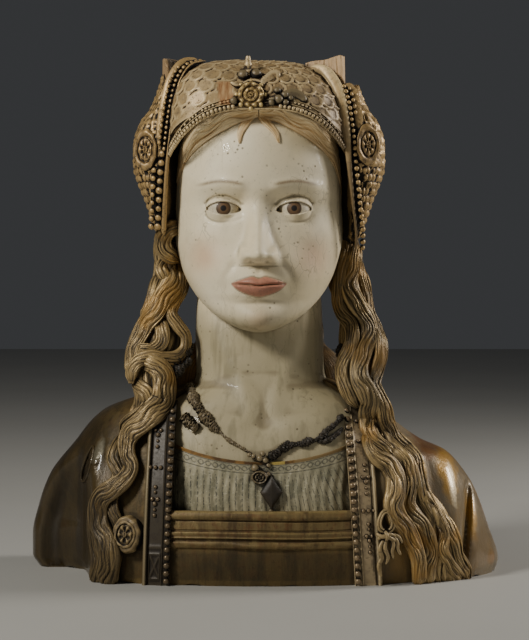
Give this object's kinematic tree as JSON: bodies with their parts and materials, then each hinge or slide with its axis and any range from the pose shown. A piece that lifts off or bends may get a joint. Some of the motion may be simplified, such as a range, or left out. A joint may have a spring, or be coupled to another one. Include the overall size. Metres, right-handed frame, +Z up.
{
  "type": "reliquary bust",
  "caption": "Carved, painted and gilded bust of a young woman with long wavy hair, a jewelled cap with side cauls and a banded dress, cut flat to stand on its underside.",
  "frame": {"origin": "middle of the underside", "axes": "+Z up, the face looks along -Y, +X to the viewer's right"},
  "size_m": [0.3914, 0.1992, 0.426],
  "materials": {
    "aged_gilding": "aged gilding and brown glaze on carved wood, satin, worn to yellow on the high places",
    "flesh_paint": "cream flesh paint on wood, aged and finely crackled, satin",
    "pale_gilding": "pale rubbed gilding on carved wood, satin",
    "dress_glaze": "brown glaze over gilding, satin, worn through to yellow in patches",
    "chemise_paint": "grey-green paint with a fine dark pattern, matte",
    "dark_jewels": "dark grey-brown paint on carved beads, satin"
  },
  "bodies": {
    "root": {"bust": "aged_gilding"}
  },
  "joints": []
}
